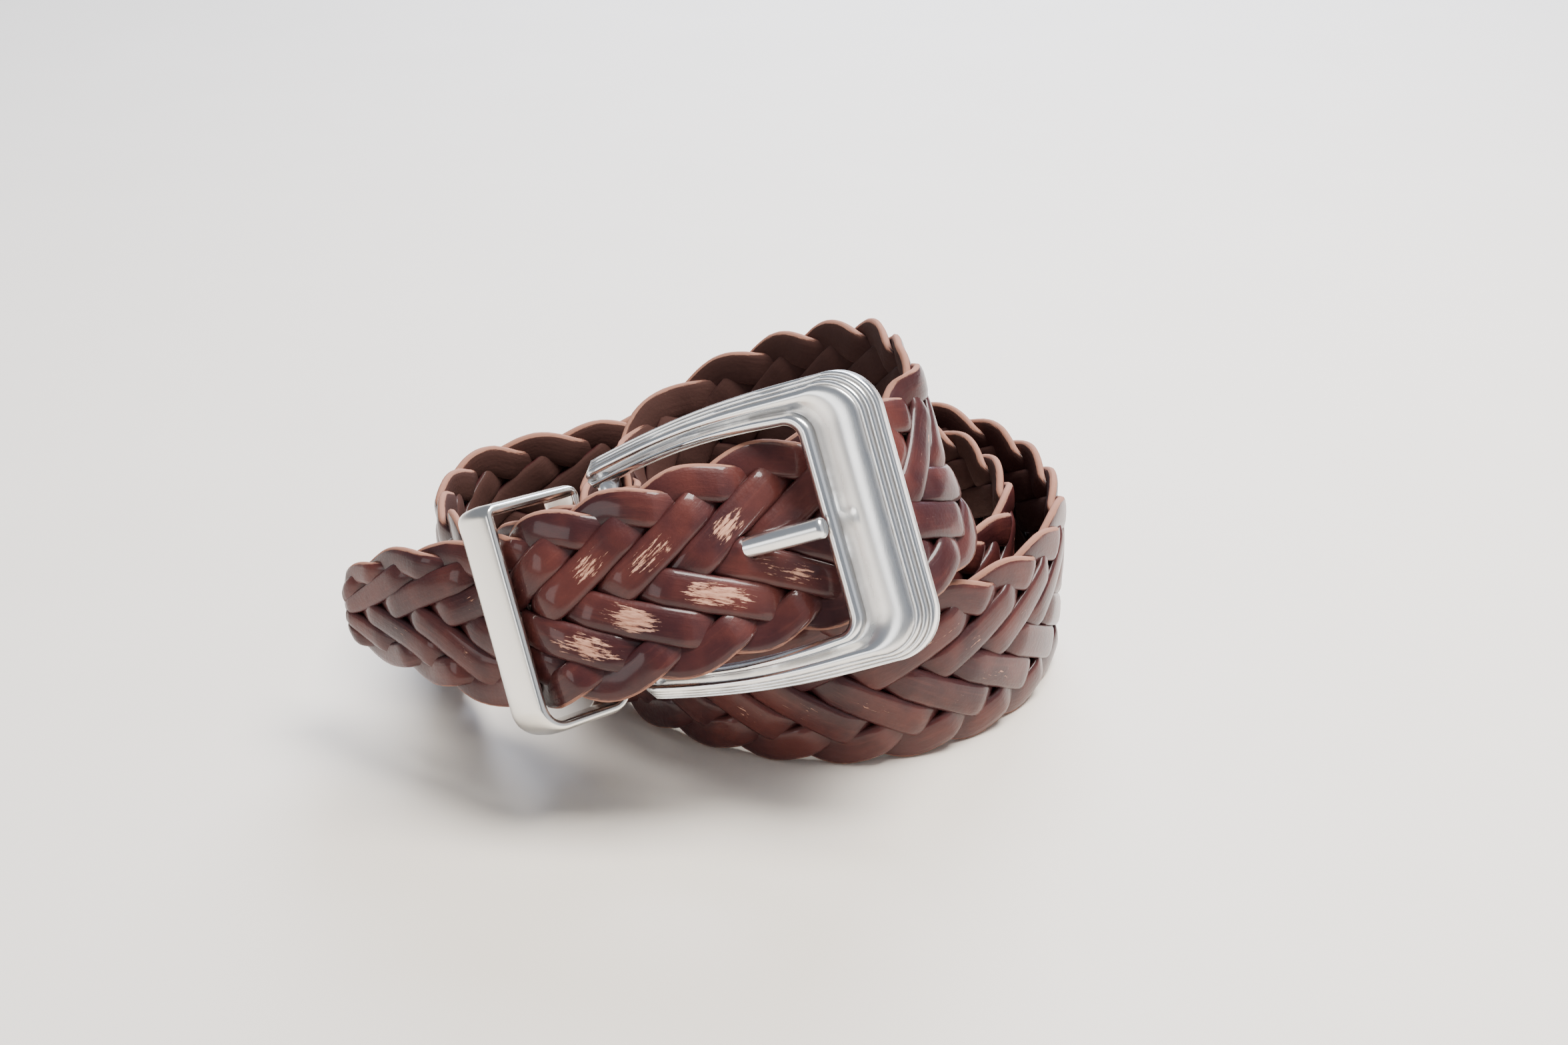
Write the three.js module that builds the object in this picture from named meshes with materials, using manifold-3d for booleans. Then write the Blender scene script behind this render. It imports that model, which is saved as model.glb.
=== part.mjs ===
// A braided leather belt, buckled and coiled on edge: strap, buckle frame, prong and keeper.
// Millimetres, +Z up. The table is at z = 0 and the camera side is -Y.

import * as THREE from "three";
import { mergeVertices } from "three/addons/utils/BufferGeometryUtils.js";
import Module from "manifold-3d";

const wasm = await Module();
wasm.setup();

// Strap sizes
const STRAP_WIDTH = 36;
const STRAP_THICKNESS = 4.5;
const EDGE_THICKNESS = 2.8;
const EDGE_ROUND = 3.2;
const BRAID_PITCH = 13.5;
const SCALLOP_DEPTH = 2.1;
const TIP_LENGTH = 60;
const TIP_WIDTH = 10.5;
const TIP_ROUNDNESS = 0.5;

// Coil sizes, to the middle of the strap's thickness
const COIL_RADIUS = 49;
const COIL_STEP = THREE.MathUtils.degToRad(15);

// Buckle sizes
const FRAME_LENGTH = 57;
const FRAME_THICKNESS = 5;
const FAR_BAR_WIDTH = 15.5;
const FAR_ARM_WIDTH = 7.4;
const NEAR_ARM_WIDTH = 5.2;
const NEAR_WINDOW_HEIGHT = 33.6;
const ARM_BULGE = 1.6;
const OUTER_CORNER = 8.5;
const INNER_CORNER = 3;
const REED_WIDTH = 1.1;
const REED_DROP = 0.7;
const BEAD_WIDTH = 3;
const VALLEY_DROP = 1.3;
const HINGE_BAR_RADIUS = 2.2;
const HINGE_INSET = 3.5;
const VALLEY_WIDTH = 1.8;
const BAND_END = 0.5;

// Prong and keeper sizes
const PRONG_RADIUS = 1.9;
const PRONG_REACH = 1.6;
const KEEPER_WIDTH = 9.5;
const KEEPER_METAL = 1.7;
const KEEPER_PLAY = 0.9;
const LOOSE_SPACE = 6.5;
const KEEPER_ROUND = 5;
const KEEPER_TURN = THREE.MathUtils.degToRad(26);
const KEEPER_DROP = 1.6;

// Clearances
const CLEARANCE = 0.3;
const FOLD_CLEARANCE = 1;
const LAYER_PLAY = 1.7;
const WINDOW_PLAY = 0.9;
const SLOT_PLAY = 0.9;

// How the fastened buckle hangs on the front of the coil
const BUCKLE_YAW = THREE.MathUtils.degToRad(-22);
const BUCKLE_LEAN = THREE.MathUtils.degToRad(-18.5);
const BUCKLE_ROLL = THREE.MathUtils.degToRad(-24);
const BUCKLE_RIGHT = 0.33;
const BUCKLE_FRONT = -1.19;
const BUCKLE_RISE = 1.655;

// Facets and samples
const ARC_STEPS = 8;
const ARM_STEPS = 8;
const BAR_STEPS = 4;
const ROUND_SIDES = 12;
const PITCH_SAMPLES = 4;
const LENGTH_DIVISIONS = 40;

const UP = new THREE.Vector3(0, 0, 1);

// Materials, with the colours of the photograph
const leather = new THREE.MeshStandardMaterial({ color: 0x5a2a22, roughness: 0.42, metalness: 0 });
const silver = new THREE.MeshStandardMaterial({ color: 0xd8d6cf, roughness: 0.2, metalness: 1 });

// The buckle's own axes: x to the far bar, y up its height, z out of its face.
const buckleTurn = new THREE.Quaternion()
  .setFromEuler(new THREE.Euler(BUCKLE_LEAN, BUCKLE_ROLL, BUCKLE_YAW, "ZXY"))
  .multiply(new THREE.Quaternion().setFromAxisAngle(new THREE.Vector3(1, 0, 0), Math.PI / 2));
const bucklePlace = new THREE.Vector3(
  BUCKLE_RIGHT * COIL_RADIUS,
  BUCKLE_FRONT * COIL_RADIUS,
  BUCKLE_RISE * STRAP_WIDTH,
);
const buckleMatrix = new THREE.Matrix4().compose(bucklePlace, buckleTurn, new THREE.Vector3(1, 1, 1));
const buckleHeightAxis = new THREE.Vector3(0, 1, 0).applyQuaternion(buckleTurn);

const farWindowHeight = STRAP_WIDTH + 2 * WINDOW_PLAY;
const hingeX = HINGE_INSET - FRAME_LENGTH;
const strapHalf = STRAP_THICKNESS / 2;
const frameHalf = FRAME_THICKNESS / 2;
const foldRadius = HINGE_BAR_RADIUS + FOLD_CLEARANCE + strapHalf;

// The tail runs over the folded strap on the hinge bar.
const tailOverBar = HINGE_BAR_RADIUS + FOLD_CLEARANCE + 2 * STRAP_THICKNESS + STRAP_THICKNESS / 2;
const tailBehindBar = -(frameHalf + CLEARANCE + strapHalf);

// The keeper sits beside the prong's eye, turned with the tail that it holds.
const eyeRadius = HINGE_BAR_RADIUS + CLEARANCE + PRONG_RADIUS;
const keeperDepth = 2 * STRAP_THICKNESS + LOOSE_SPACE + 2 * KEEPER_PLAY;
const keeperFront = strapHalf + KEEPER_PLAY;
const keeperBack = keeperDepth - keeperFront;
const keeperX =
  hingeX -
  (eyeRadius + 2 * CLEARANCE) -
  (KEEPER_WIDTH / 2) * Math.cos(KEEPER_TURN) -
  (keeperBack + KEEPER_METAL) * Math.sin(KEEPER_TURN);
const keeperZ = tailOverBar;
const keeperTurn = new THREE.Quaternion().setFromAxisAngle(new THREE.Vector3(0, 1, 0), -KEEPER_TURN);

// A point of the strap's middle line in the buckle's frame, as a place in the belt's frame.
function inBuckle(x, z, drop = 0) {
  return new THREE.Vector3(x, -drop, z).applyMatrix4(buckleMatrix);
}

// A point beside the keeper: along is towards the tip, out is away from the coil.
function inKeeper(along, out, drop = 0) {
  const local = new THREE.Vector3(-along, 0, out).applyQuaternion(keeperTurn);
  return inBuckle(keeperX + local.x, keeperZ + local.z, drop);
}

// The folded end behind the keeper: along as a share of the keeper's width, out of the strap's thickness.
const FOLDED_END = [
  { along: 1.8, out: 0.4 },
  { along: 0.7, out: -0.1 },
  { along: -0.2, out: -0.1 },
];
// The strap's start inside the keeper, as shares of the keeper's width.
const STRAP_IN_KEEPER = [-0.3, 0.6];

// Stations of the folded end: from its free end round the hinge bar to the keeper.
function foldStations() {
  const strapOut = LAYER_PLAY + strapHalf - keeperBack;
  const endOut = -keeperBack - KEEPER_METAL - KEEPER_PLAY - strapHalf;
  const stations = FOLDED_END.map((row) => ({
    point: inKeeper(row.along * KEEPER_WIDTH, endOut + row.out * STRAP_THICKNESS),
    tilt: 1,
  }));
  for (let step = 0; step <= ARC_STEPS; step += 1) {
    const angle = -Math.PI / 2 + (Math.PI * step) / ARC_STEPS;
    const x = hingeX + foldRadius * Math.cos(angle);
    const z = foldRadius * Math.sin(angle);
    stations.push({ point: inBuckle(x, z), tilt: 1 });
  }
  for (const along of STRAP_IN_KEEPER) {
    stations.push({ point: inKeeper(along * KEEPER_WIDTH, strapOut), tilt: 1 });
  }
  return stations;
}

// Loose stretches, as shares: right and back of the coil radius, rise of the strap width,
// tilt from upright (0) to the buckle's own lean (1).
const LOOSE_START = [
  { right: -1.16, back: -0.765, rise: 0.73, tilt: 0.8 },
  { right: -1.41, back: -0.33, rise: 0.56, tilt: 0.3 },
  { right: -1.46, back: 0.08, rise: 0.5, tilt: 0 },
  { right: -1.345, back: 0.335, rise: 0.5, tilt: 0 },
  { right: -1.02, back: 0.52, rise: 0.5, tilt: 0 },
  { right: -0.61, back: 0.745, rise: 0.5, tilt: 0 },
];
const RISING_TURN = [
  { right: -0.695, back: 0.05, rise: 0.54, tilt: 0.05 },
  { right: -0.62, back: 0.27, rise: 0.68, tilt: 0.3 },
  { right: -0.42, back: 0.355, rise: 0.89, tilt: 0.6 },
  { right: -0.17, back: 0.28, rise: 1.13, tilt: 0.9 },
  { right: 0.09, back: 0.08, rise: 1.36, tilt: 1.1 },
  { right: 0.3, back: -0.17, rise: 1.52, tilt: 1.3 },
  { right: 0.41, back: -0.45, rise: 1.58, tilt: 1.35 },
  { right: 0.45, back: -0.71, rise: 1.56, tilt: 1.15 },
];
const FREE_TAIL = [
  { right: -1.42, back: -0.9, rise: 0.84, tilt: 0.9 },
  { right: -1.77, back: -0.63, rise: 0.67, tilt: 0.8 },
];

// Flat turns on the table: degrees clockwise from the front, reach as a share of the coil radius.
const FLAT_TURNS = [
  { degrees: 165, reach: 0.94 },
  { degrees: 270, reach: 1 },
  { degrees: 330, reach: 1 },
  { degrees: 395, reach: 0.93 },
  { degrees: 450, reach: 0.905 },
  { degrees: 510, reach: 0.805 },
  { degrees: 630, reach: 0.8 },
  { degrees: 720, reach: 0.715 },
  { degrees: 780, reach: 0.72 },
];

function looseStations(rows) {
  return rows.map((row) => ({
    point: new THREE.Vector3(row.right * COIL_RADIUS, row.back * COIL_RADIUS, row.rise * STRAP_WIDTH),
    tilt: row.tilt,
  }));
}

function reachAt(angle) {
  const degrees = THREE.MathUtils.radToDeg(angle);
  const next = FLAT_TURNS.findIndex((row) => row.degrees >= degrees - 1e-6);
  if (next <= 0) return FLAT_TURNS[0].reach;
  const before = FLAT_TURNS[next - 1];
  const after = FLAT_TURNS[next];
  const share = (degrees - before.degrees) / (after.degrees - before.degrees);
  return before.reach + (after.reach - before.reach) * THREE.MathUtils.smoothstep(share, 0, 1);
}

function flatStations() {
  const first = THREE.MathUtils.degToRad(FLAT_TURNS[0].degrees);
  const last = THREE.MathUtils.degToRad(FLAT_TURNS.at(-1).degrees);
  const steps = Math.round((last - first) / COIL_STEP);
  const stations = [];
  for (let step = 0; step <= steps; step += 1) {
    const angle = first + ((last - first) * step) / steps;
    const reach = reachAt(angle) * COIL_RADIUS;
    const point = new THREE.Vector3(-reach * Math.sin(angle), -reach * Math.cos(angle), STRAP_WIDTH / 2);
    stations.push({ point, tilt: 0 });
  }
  return stations;
}

// The tail behind the far bar: across as a share of the bar's width, behind of the strap's thickness.
const BEHIND_BAR = [
  { across: 0.35, behind: 0.75 },
  { across: 0.75, behind: 0.35 },
];
// The tail through the window: across as a share of the way from the far bar (0) to the hinge bar (1),
// out as a share of the tail's height over the hinge bar.
const THROUGH_WINDOW = [
  { across: 0.12, out: -0.28 },
  { across: 0.33, out: 0.16 },
  { across: 0.52, out: 0.56 },
  { across: 0.74, out: 0.88 },
  { across: 1, out: 1.06 },
];
// The tail in the keeper: along as a share of the keeper's width, out of the strap's thickness.
const THROUGH_KEEPER = [
  { along: -0.8, out: -0.13 },
  { along: 0, out: 0 },
  { along: 0.8, out: -0.05 },
];

// Stations of the tail: behind the far bar, up through the window, over the hinge bar, into the keeper.
function tailStations() {
  const windowLength = Math.abs(hingeX) - FAR_BAR_WIDTH;
  const behindBar = BEHIND_BAR.map((row) => ({
    point: inBuckle(-row.across * FAR_BAR_WIDTH, tailBehindBar - row.behind * STRAP_THICKNESS),
    tilt: 1,
  }));
  const throughWindow = THROUGH_WINDOW.map((row) => ({
    point: inBuckle(
      -FAR_BAR_WIDTH - row.across * windowLength,
      row.out * tailOverBar,
      Math.max(0, row.out) * KEEPER_DROP,
    ),
    tilt: 1,
  }));
  const throughKeeper = THROUGH_KEEPER.map((row) => ({
    point: inKeeper(row.along * KEEPER_WIDTH, row.out * STRAP_THICKNESS, KEEPER_DROP),
    tilt: 1,
  }));
  return [...behindBar, ...throughWindow, ...throughKeeper];
}

const stations = [
  ...foldStations(),
  ...looseStations(LOOSE_START),
  ...flatStations(),
  ...looseStations(RISING_TURN),
  ...tailStations(),
  ...looseStations(FREE_TAIL),
];

// Samples along the route, a quarter of a braid pitch apart, each with its three axes.
function routeSamples() {
  const curve = new THREE.CatmullRomCurve3(
    stations.map((station) => station.point),
    false,
    "centripetal",
  );
  curve.arcLengthDivisions = LENGTH_DIVISIONS * stations.length;
  const length = curve.getLength();
  const count = PITCH_SAMPLES * Math.round(length / BRAID_PITCH);
  const samples = [];
  for (let index = 0; index <= count; index += 1) {
    const t = curve.getUtoTmapping(index / count);
    const place = t * (stations.length - 1);
    const low = Math.min(Math.floor(place), stations.length - 2);
    const tilt = THREE.MathUtils.lerp(stations[low].tilt, stations[low + 1].tilt, place - low);
    const along = curve.getTangent(t);
    const height = UP.clone().lerp(buckleHeightAxis, tilt);
    height.addScaledVector(along, -height.dot(along)).normalize();
    const out = along.clone().cross(height);
    const point = curve.getPoint(t);
    point.z = Math.max(point.z, STRAP_WIDTH / 2);
    samples.push({ point, along, height, out, distance: (length * index) / count });
  }
  return samples;
}

const samples = routeSamples();
const strapLength = samples.at(-1).distance;

// The narrower stretch that fits between the frame's arms: from the folded end until past the keeper.
const foldLength =
  Math.PI * foldRadius + 2 * Math.abs(keeperX - hingeX) + (FOLDED_END[0].along + 0.5) * KEEPER_WIDTH;

// Half of the strap's width at one sample; side is 1 on the upper edge and -1 on the lower.
function halfWidth(index, side) {
  const place = index + 0.5 + (side > 0 ? 0 : PITCH_SAMPLES / 2);
  const notch = 1 - Math.abs(Math.cos((Math.PI * place) / PITCH_SAMPLES));
  const crown = 1 - Math.abs(Math.cos(Math.PI / (2 * PITCH_SAMPLES)));
  const distance = samples[index].distance;
  const narrow = NEAR_WINDOW_HEIGHT / 2 - WINDOW_PLAY;
  const foldShare = THREE.MathUtils.smoothstep(distance, foldLength, foldLength + BRAID_PITCH);
  const full = THREE.MathUtils.lerp(narrow, STRAP_WIDTH / 2, foldShare);
  const toTip = Math.max(0, strapLength - distance);
  const share = Math.min(1, toTip / TIP_LENGTH);
  const tipShare = TIP_WIDTH / STRAP_WIDTH;
  const taper = tipShare + (1 - tipShare) * share ** TIP_ROUNDNESS;
  return (full - SCALLOP_DEPTH * (notch - crown)) * taper;
}

// A closed body from rings of points that all have the same number of corners.
function ringsToGeometry(rings, closed) {
  const corners = rings[0].length;
  const positions = [];
  const faces = [];
  for (const point of rings.flat()) {
    positions.push(point.x, point.y, point.z);
  }
  const spans = closed ? rings.length : rings.length - 1;
  for (let ring = 0; ring < spans; ring += 1) {
    const next = (ring + 1) % rings.length;
    for (let corner = 0; corner < corners; corner += 1) {
      const a = ring * corners + corner;
      const b = ring * corners + ((corner + 1) % corners);
      const c = next * corners + corner;
      const d = next * corners + ((corner + 1) % corners);
      faces.push(a, b, d, a, d, c);
    }
  }
  if (!closed) {
    const last = (rings.length - 1) * corners;
    for (let corner = 1; corner < corners - 1; corner += 1) {
      faces.push(0, corner + 1, corner);
      faces.push(last, last + corner, last + corner + 1);
    }
  }
  const geometry = new THREE.BufferGeometry();
  geometry.setAttribute("position", new THREE.Float32BufferAttribute(positions, 3));
  geometry.setIndex(faces);
  return geometry;
}

function toSolid(geometry) {
  const bare = geometry.clone();
  bare.deleteAttribute("normal");
  bare.deleteAttribute("uv");
  const merged = mergeVertices(bare, 1e-4);
  const vertProperties = new Float32Array(merged.getAttribute("position").array);
  const triVerts = new Uint32Array(merged.index.array);
  return new wasm.Manifold(new wasm.Mesh({ numProp: 3, vertProperties, triVerts }));
}

function toGeometry(solid) {
  const mesh = solid.getMesh();
  const geometry = new THREE.BufferGeometry();
  geometry.setAttribute("position", new THREE.Float32BufferAttribute(mesh.vertProperties, 3));
  geometry.setIndex(Array.from(mesh.triVerts));
  geometry.computeVertexNormals();
  return geometry;
}

// The prong's bend: along as a share of its length, lift as a share of the way from the eye's
// level (0) to where it rests on the far bar (1).
const PRONG_BEND = [
  { along: 0, lift: 0 },
  { along: 0.25, lift: 0.8 },
  { along: 0.6, lift: 1.23 },
  { along: 1, lift: 1 },
];

// The prong in the buckle's frame: a rod from the eye on the hinge bar to the far bar's bead.
function prongRod(radius) {
  const restZ = frameHalf + CLEARANCE + PRONG_RADIUS;
  const endX = PRONG_REACH - FAR_BAR_WIDTH;
  const startZ = eyeRadius - PRONG_RADIUS / 2;
  const points = PRONG_BEND.map(
    (row) =>
      new THREE.Vector3(
        THREE.MathUtils.lerp(hingeX, endX, row.along),
        0,
        THREE.MathUtils.lerp(startZ, restZ, row.lift),
      ),
  );
  const path = new THREE.CatmullRomCurve3(points);
  const outline = new THREE.Shape().absarc(0, 0, radius, 0, 2 * Math.PI);
  return new THREE.ExtrudeGeometry(outline, {
    steps: ARC_STEPS,
    curveSegments: ROUND_SIDES,
    extrudePath: path,
  });
}

// A round bar along the buckle's height axis, centred on the hinge.
function hingeCylinder(radius, height) {
  const bar = new THREE.CylinderGeometry(radius, radius, height, ROUND_SIDES);
  return bar.rotateY(Math.PI / ROUND_SIDES).translate(hingeX, 0, 0);
}

function makeStrap() {
  const half = EDGE_THICKNESS / 2;
  const rings = samples.map((sample, index) => {
    const top = halfWidth(index, 1);
    const bottom = halfWidth(index, -1);
    const round = Math.min(EDGE_ROUND, top / 2, bottom / 2);
    const corners = [
      [half, top],
      [strapHalf, top - round],
      [strapHalf, round - bottom],
      [half, -bottom],
      [-half, -bottom],
      [-strapHalf, round - bottom],
      [-strapHalf, top - round],
      [-half, top],
    ];
    return corners.map(([out, height]) =>
      sample.point.clone().addScaledVector(sample.out, out).addScaledVector(sample.height, height),
    );
  });
  const slotHeight = 2 * (PRONG_RADIUS + SLOT_PLAY);
  const slotReach = foldRadius + strapHalf + FOLD_CLEARANCE;
  const slot = new THREE.BoxGeometry(2 * slotReach, slotHeight, 2 * slotReach)
    .translate(hingeX, 0, 0)
    .applyMatrix4(buckleMatrix);
  const hole = prongRod(PRONG_RADIUS + CLEARANCE).applyMatrix4(buckleMatrix);
  const solid = toSolid(ringsToGeometry(rings, false)).subtract(toSolid(slot)).subtract(toSolid(hole));
  const mesh = new THREE.Mesh(toGeometry(solid), leather);
  mesh.name = "strap";
  return mesh;
}

// One outline of the U-shaped frame: from the lower arm's end, round the far bar, to the upper arm's.
function frameOutline(inset, nearHalf, farHalf, corner) {
  const farX = -inset;
  const slope = new THREE.Vector2(farX + FRAME_LENGTH, farHalf - nearHalf).normalize();
  const turn = Math.PI / 2 + Math.atan2(slope.y, slope.x);
  const cornerReach = corner * Math.tan(turn / 2);
  const points = [];
  const start = new THREE.Vector2(-FRAME_LENGTH, nearHalf);
  const cornerStart = new THREE.Vector2(farX, farHalf).addScaledVector(slope, -cornerReach);
  for (let step = 0; step < ARM_STEPS; step += 1) {
    const point = start.clone().lerp(cornerStart, step / ARM_STEPS);
    point.y += ARM_BULGE * Math.sin((Math.PI * step) / ARM_STEPS);
    points.push(point);
  }
  const centre = new THREE.Vector2(farX - corner, farHalf - cornerReach);
  for (let step = 0; step <= ARC_STEPS; step += 1) {
    const angle = turn * (1 - step / ARC_STEPS);
    const reach = new THREE.Vector2(corner, 0).rotateAround(new THREE.Vector2(), angle);
    points.push(centre.clone().add(reach));
  }
  const barTop = points.at(-1).clone();
  for (let step = 1; step <= BAR_STEPS; step += 1) {
    points.push(barTop.clone().setY(barTop.y * (1 - step / BAR_STEPS)));
  }
  const lower = points.slice(0, -1).map((point) => new THREE.Vector2(point.x, -point.y));
  return [...lower, ...points.reverse()];
}

function makeFrame() {
  const farHalf = farWindowHeight / 2;
  const nearHalf = NEAR_WINDOW_HEIGHT / 2;
  const outer = frameOutline(0, nearHalf + NEAR_ARM_WIDTH, farHalf + FAR_ARM_WIDTH, OUTER_CORNER);
  const inner = frameOutline(FAR_BAR_WIDTH, nearHalf, farHalf, INNER_CORNER);
  const rings = outer.map((edge, index) => {
    const span = inner[index].clone().sub(edge);
    const width = span.length();
    const reeds = (3 * REED_WIDTH) / width;
    const valley = Math.max(1 - (BEAD_WIDTH + VALLEY_WIDTH) / width, reeds);
    const bead = BEAD_WIDTH / width;
    const profile = [
      { across: 0, z: -frameHalf },
      { across: 1, z: -frameHalf },
      { across: 1, z: frameHalf - VALLEY_DROP / 2 },
      { across: 1 - bead / 2, z: frameHalf },
      { across: 1 - bead, z: frameHalf - VALLEY_DROP / 2 },
      { across: valley, z: frameHalf - VALLEY_DROP },
      { across: Math.max(BAND_END, reeds), z: frameHalf },
      { across: reeds, z: frameHalf },
      { across: (2 * reeds) / 3, z: frameHalf - REED_DROP },
      { across: reeds / 3, z: frameHalf - 2 * REED_DROP },
      { across: 0, z: frameHalf - 3 * REED_DROP },
    ];
    return profile.map((row) => {
      const place = edge.clone().addScaledVector(span, row.across);
      return new THREE.Vector3(place.x, place.y, row.z);
    });
  });
  const barHeight = NEAR_WINDOW_HEIGHT + NEAR_ARM_WIDTH;
  const bar = toSolid(hingeCylinder(HINGE_BAR_RADIUS, barHeight));
  const mesh = new THREE.Mesh(toGeometry(toSolid(ringsToGeometry(rings, false)).add(bar)), silver);
  mesh.name = "buckle_frame";
  return mesh;
}

function makeProng() {
  const eye = toSolid(hingeCylinder(eyeRadius, 2 * PRONG_RADIUS));
  const bore = toSolid(hingeCylinder(HINGE_BAR_RADIUS + CLEARANCE, 4 * PRONG_RADIUS));
  const solid = eye.add(toSolid(prongRod(PRONG_RADIUS))).subtract(bore);
  const mesh = new THREE.Mesh(toGeometry(solid), silver);
  mesh.name = "buckle_prong";
  return mesh;
}

// The keeper: a bent metal loop, crisp at the top and round at the bottom.
function makeKeeper() {
  const height = STRAP_WIDTH + 2 * KEEPER_PLAY;
  const outline = (grow, round) => {
    const left = -keeperBack - grow;
    const right = keeperFront + grow;
    const top = height / 2 + grow;
    const shape = new THREE.Shape();
    shape.moveTo(left, top);
    shape.lineTo(left, round - top);
    shape.absarc(left + round, round - top, round, Math.PI, 1.5 * Math.PI);
    shape.lineTo(right - round, -top);
    shape.absarc(right - round, round - top, round, 1.5 * Math.PI, 2 * Math.PI);
    shape.lineTo(right, top);
    shape.closePath();
    return shape;
  };
  const loop = outline(KEEPER_METAL, KEEPER_ROUND);
  loop.holes.push(outline(0, KEEPER_ROUND - KEEPER_METAL));
  const geometry = new THREE.ExtrudeGeometry(loop, {
    depth: KEEPER_WIDTH,
    bevelEnabled: false,
    curveSegments: ARC_STEPS,
  });
  geometry.translate(0, 0, -KEEPER_WIDTH / 2).rotateY(-Math.PI / 2);
  const mesh = new THREE.Mesh(geometry, silver);
  mesh.name = "keeper";
  mesh.position.set(keeperX, -KEEPER_DROP, keeperZ);
  mesh.quaternion.copy(keeperTurn);
  return mesh;
}

const buckle = new THREE.Group();
buckle.position.copy(bucklePlace);
buckle.quaternion.copy(buckleTurn);
buckle.add(makeFrame(), makeProng(), makeKeeper());

const group = new THREE.Group();
group.add(makeStrap(), buckle);

// The origin is at the middle of the base of the whole belt.
group.updateMatrixWorld(true);
const box = new THREE.Box3().setFromObject(group, true);
group.position.set(-(box.min.x + box.max.x) / 2, -(box.min.y + box.max.y) / 2, -box.min.z);

export default group;
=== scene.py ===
"""Looks of the braided belt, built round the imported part.

Metres, +Z up, the camera on the -Y side. The strap's route, the buckle's place and their sizes are
those of the part's source. The braid's strands, the cast frame, the prong and the keeper are modelled
here and stand for the plain solids.
"""

import logging
import math
from bisect import bisect_right
from dataclasses import dataclass, field
from enum import Enum
from typing import Callable, Sequence

import bmesh
import bpy
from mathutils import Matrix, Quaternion, Vector, noise


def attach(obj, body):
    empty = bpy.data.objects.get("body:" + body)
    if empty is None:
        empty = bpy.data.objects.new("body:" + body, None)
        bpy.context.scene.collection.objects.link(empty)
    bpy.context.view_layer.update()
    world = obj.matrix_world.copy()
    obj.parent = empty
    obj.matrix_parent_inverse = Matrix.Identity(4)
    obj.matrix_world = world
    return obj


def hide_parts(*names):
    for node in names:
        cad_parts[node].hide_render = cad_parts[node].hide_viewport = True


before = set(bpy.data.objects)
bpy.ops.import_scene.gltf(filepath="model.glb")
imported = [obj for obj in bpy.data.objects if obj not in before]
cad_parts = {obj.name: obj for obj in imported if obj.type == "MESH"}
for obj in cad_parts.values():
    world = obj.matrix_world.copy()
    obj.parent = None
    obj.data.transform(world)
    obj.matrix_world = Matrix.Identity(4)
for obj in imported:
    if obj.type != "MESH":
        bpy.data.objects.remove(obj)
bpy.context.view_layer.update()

LOG = logging.getLogger("belt")
UP = Vector((0, 0, 1))
MM = 0.001
Colour = tuple[float, float, float]
Socket = bpy.types.NodeSocket
Place = Callable[[float, float], Vector]
Marks = Callable[[float, float], tuple[float, float, float, float]]


class Side(Enum):
    """The two ways a strand crosses the band."""

    FALLING = 0
    RISING = 1


def smoothstep(value: float, low: float, high: float) -> float:
    """Rises smoothly from 0 at low to 1 at high.

    Args:
        value: The number to place.
        low: Where the rise starts.
        high: Where the rise ends.

    Returns:
        A number from 0 to 1.
    """
    share = min(1.0, max(0.0, (value - low) / (high - low)))
    return share * share * (3 - 2 * share)


def lerp(start: float, end: float, share: float) -> float:
    """Returns the number a share of the way from start to end."""
    return start + (end - start) * share


def superellipse(turn: float, half_width: float, half_height: float, power: float) -> tuple[float, float]:
    """A point of a rounded rectangle's outline.

    Args:
        turn: Share of the way round, from 0 to 1.
        half_width: Half of the outline's width.
        half_height: Half of its height.
        power: 2 for an ellipse; more is squarer.

    Returns:
        The point's two coordinates.
    """
    angle = 2 * math.pi * turn
    cosine, sine = math.cos(angle), math.sin(angle)
    x = math.copysign(abs(cosine) ** (2 / power), cosine)
    y = math.copysign(abs(sine) ** (2 / power), sine)
    return half_width * x, half_height * y


def link_piece(name: str, sheet: bmesh.types.BMesh) -> bpy.types.Object:
    """Makes a smooth-shaded piece that rides on the belt's only body.

    Args:
        name: The piece's name.
        sheet: Its bmesh, which is freed.

    Returns:
        The new object.
    """
    mesh = bpy.data.meshes.new(name)
    sheet.to_mesh(mesh)
    sheet.free()
    mesh.shade_smooth()
    piece = bpy.data.objects.new(name, mesh)
    bpy.context.scene.collection.objects.link(piece)
    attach(piece, "root")
    return piece


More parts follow.
